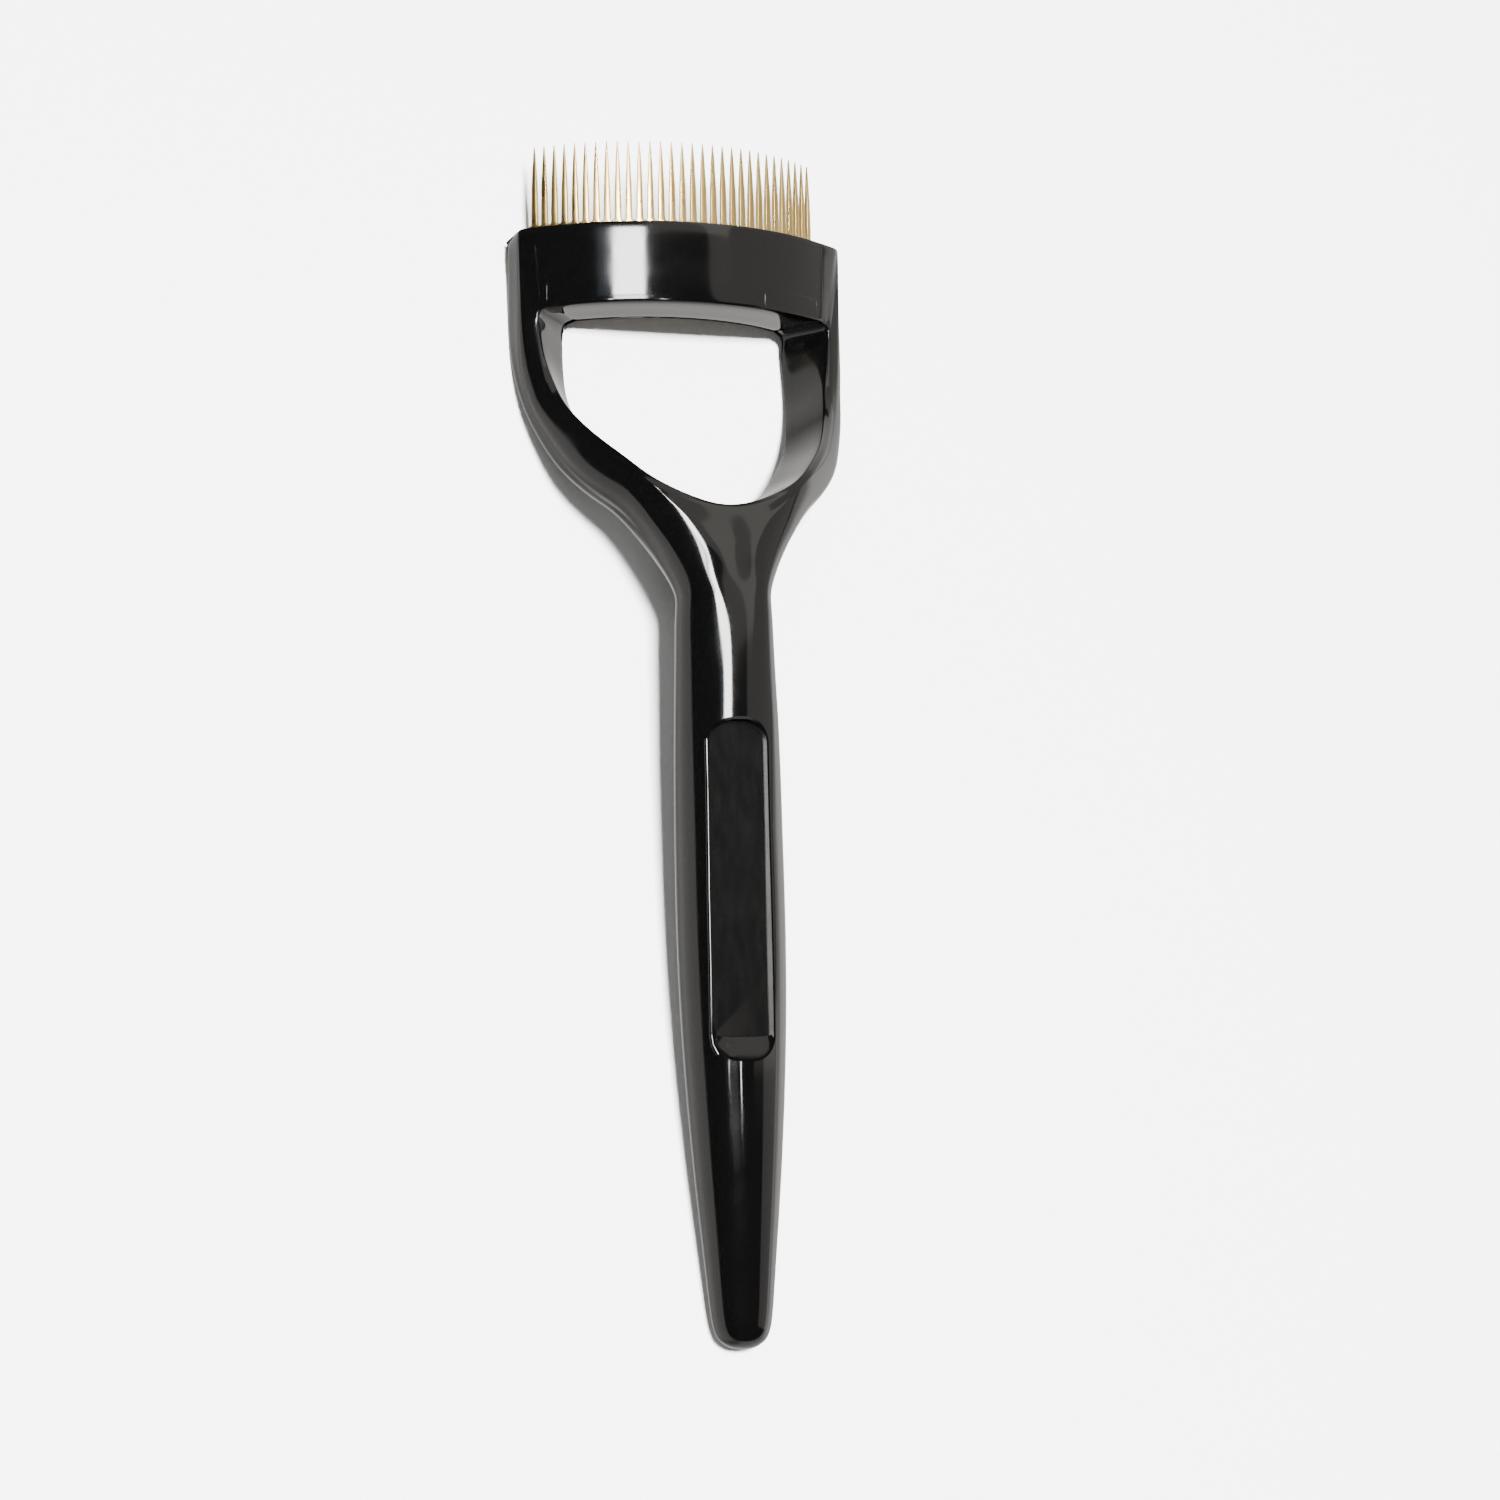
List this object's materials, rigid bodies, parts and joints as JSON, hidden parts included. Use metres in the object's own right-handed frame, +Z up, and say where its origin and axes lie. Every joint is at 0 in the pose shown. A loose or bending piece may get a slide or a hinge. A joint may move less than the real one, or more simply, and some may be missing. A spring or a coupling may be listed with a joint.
{
  "type": "eyelash comb",
  "caption": "Eyelash comb with a slim glossy black plastic handle, an open D-shaped head and a curved row of fine gold-coloured metal teeth.",
  "frame": {"origin": "middle of the footprint, on the table that the comb lies on", "axes": "+Y from the end of the handle to the tooth tips, +Z up, out of the front of the head"},
  "size_m": [0.031, 0.1106, 0.0152],
  "materials": {
    "frame_black": "polished black moulding, satin in the thumb recess",
    "comb_gold": "pale gold plating, bright"
  },
  "bodies": {
    "root": {"handle_frame": "frame_black", "comb_strip": "comb_gold"}
  },
  "joints": []
}
